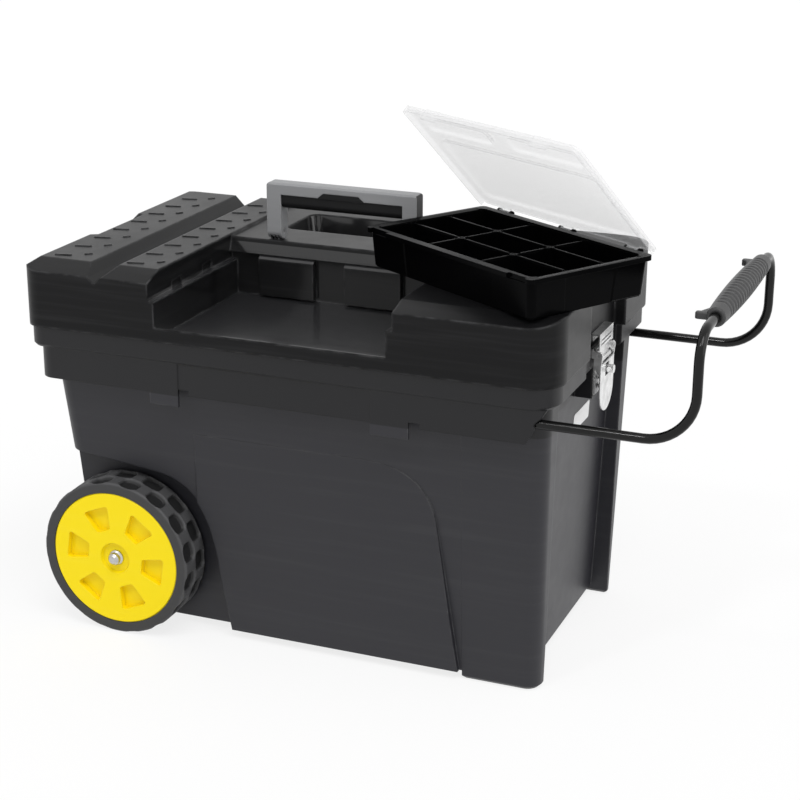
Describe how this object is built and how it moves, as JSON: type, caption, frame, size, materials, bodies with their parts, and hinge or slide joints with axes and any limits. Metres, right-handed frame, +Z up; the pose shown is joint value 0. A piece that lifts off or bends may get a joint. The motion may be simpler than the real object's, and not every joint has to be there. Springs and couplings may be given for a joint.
{
  "type": "rolling storage chest",
  "caption": "Rolling plastic tool chest with a hinged work lid, tool tray, sliding pull handle, folding carry handle, end draw latch, side wheels and a loose clear-lidded organizer.",
  "frame": {"origin": "on the floor, under the middle of the chest with its pull handle drawn out", "axes": "+X along the chest towards the latch and pull-handle end, +Y across it towards the carry handle's finger pocket, +Z up"},
  "size_m": [0.761, 0.375, 0.582],
  "materials": {
    "tub_plastic": "fine-textured moulded polypropylene",
    "lid_plastic": "satin moulded polypropylene",
    "hub_plastic": "satin moulded plastic",
    "tyre": "matt moulded tread",
    "bright_steel": "bright plated",
    "steel": "plain",
    "black_tube": "gloss black",
    "grip_plastic": "ribbed, satin",
    "guide_plastic": "plain",
    "handle_grey": "fine-textured moulded plastic",
    "handle_black": "satin",
    "organizer_black": "glossy moulded plastic",
    "clear_cover": "clear moulded plastic"
  },
  "bodies": {
    "tub": {"tub_shell": "tub_plastic", "axle": "steel", "push_nuts": "bright_steel", "axle_washers": "guide_plastic", "hinge_pins": "steel", "tube_guides": "guide_plastic", "latch_base": "bright_steel", "latch_staple": "bright_steel", "latch_pivot_pins": "bright_steel"},
    "lid": {"lid_shell": "lid_plastic", "lid_catch": "bright_steel", "carry_handle_pins": "steel"},
    "carry_handle": {"carry_handle_frame": "handle_grey", "carry_handle_insert": "handle_black"},
    "pull_handle": {"pull_tube": "black_tube", "tube_stops": "guide_plastic", "pull_grip": "grip_plastic"},
    "wheel_front": {"wheel_hub_front": "hub_plastic", "wheel_tyre_front": "tyre"},
    "wheel_back": {"wheel_hub_back": "hub_plastic", "wheel_tyre_back": "tyre"},
    "latch_lever": {"latch_lever": "bright_steel", "latch_link_pin": "bright_steel"},
    "latch_link": {"latch_link": "bright_steel"},
    "organizer": {"organizer_tray": "organizer_black"},
    "organizer_cover": {"organizer_cover": "clear_cover"}
  },
  "joints": [
    {"name": "lid_hinge", "type": "hinge", "parent": "tub", "child": "lid", "pos_m": [-0.3745, 0, 0.3415], "axis": [0, -1, 0], "range_deg": [0, 100]},
    {"name": "carry_handle_fold", "type": "hinge", "parent": "lid", "child": "carry_handle", "pos_m": [-0.08, 0.023, 0.4246], "axis": [-1, 0, 0], "range_deg": [0, 90]},
    {"name": "pull_handle_slide", "type": "slide", "parent": "tub", "child": "pull_handle", "axis": [1, 0, 0], "range_m": [-0.058, 0]},
    {"name": "wheel_front_spin", "type": "hinge", "parent": "tub", "child": "wheel_front", "pos_m": [-0.2685, -0.1595, 0.0889], "axis": [0, 1, 0], "continuous": true},
    {"name": "wheel_back_spin", "type": "hinge", "parent": "tub", "child": "wheel_back", "pos_m": [-0.2685, 0.1595, 0.0889], "axis": [0, 1, 0], "continuous": true},
    {"name": "latch_lever_swing", "type": "hinge", "parent": "tub", "child": "latch_lever", "pos_m": [0.229, 0, 0.338], "axis": [0, -1, 0], "range_deg": [0, 100]},
    {"name": "latch_link_swing", "type": "hinge", "parent": "latch_lever", "child": "latch_link", "pos_m": [0.2266, 0, 0.329], "axis": [0, -1, 0], "range_deg": [-100, 0]},
    {"name": "organizer_lift", "type": "slide", "parent": "lid", "child": "organizer", "axis": [0, 0, 1], "range_m": [0, 0.12]},
    {"name": "organizer_cover_hinge", "type": "hinge", "parent": "organizer", "child": "organizer_cover", "pos_m": [0.17602, 0.02193, 0.4568], "axis": [-0.8572, 0.515, 0], "range_deg": [-46.5, 60]}
  ],
  "couplings": [
    {"joint": "latch_link_swing", "follows": "latch_lever_swing", "ratio": -1}
  ]
}
